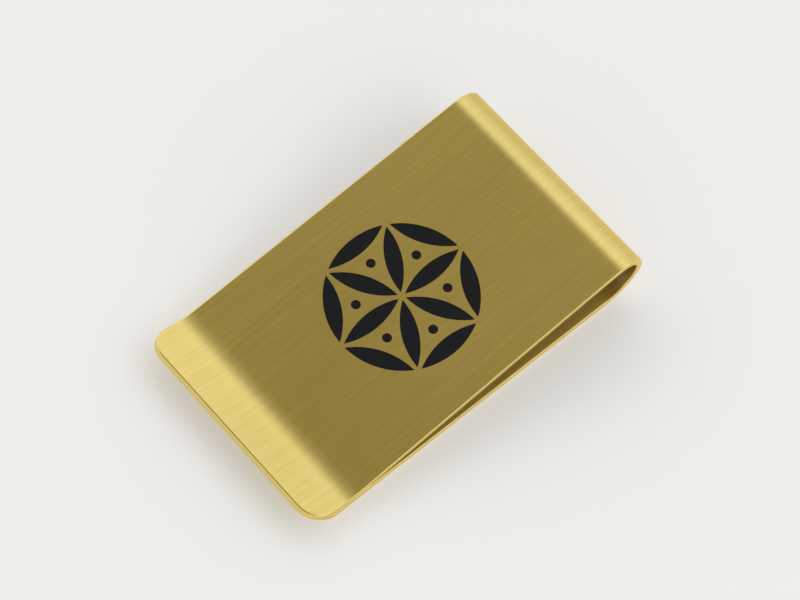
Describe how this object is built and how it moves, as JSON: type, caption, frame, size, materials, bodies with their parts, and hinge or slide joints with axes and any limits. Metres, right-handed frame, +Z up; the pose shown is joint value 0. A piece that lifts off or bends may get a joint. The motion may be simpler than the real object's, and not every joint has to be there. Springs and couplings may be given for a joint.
{
  "type": "money clip",
  "caption": "Folded spring-metal money clip with a flared lip, a plain back leaf and a dark engraved rosette on its brushed gold face.",
  "frame": {"origin": "middle of the clip's outline, on the face of the back leaf that it lies on", "axes": "+X along the strip from the flared lip to the fold, +Y across the strip, +Z up out of the engraved face"},
  "size_m": [0.045, 0.025, 0.008],
  "materials": {
    "brushed_gold": "brushed along its length, satin",
    "dark_fill": "matt black fill in the engraving"
  },
  "bodies": {
    "back": {"back_leaf": "brushed_gold", "spring_fold": "brushed_gold"},
    "front": {"front_leaf": "brushed_gold", "pinch_bend": "brushed_gold", "flared_lip": "brushed_gold", "mark_spoke_fill": "dark_fill", "mark_rim_fill": "dark_fill", "mark_dot_fill": "dark_fill"}
  },
  "joints": [
    {"name": "spring_open", "type": "hinge", "parent": "back", "child": "front", "pos_m": [0.0185, 0, 0.004], "axis": [0, 1, 0], "range_deg": [0, 10], "stiffness_Nm_per_rad": 3.3, "springref_deg": -1.15, "deforming": ["spring_fold"]}
  ]
}
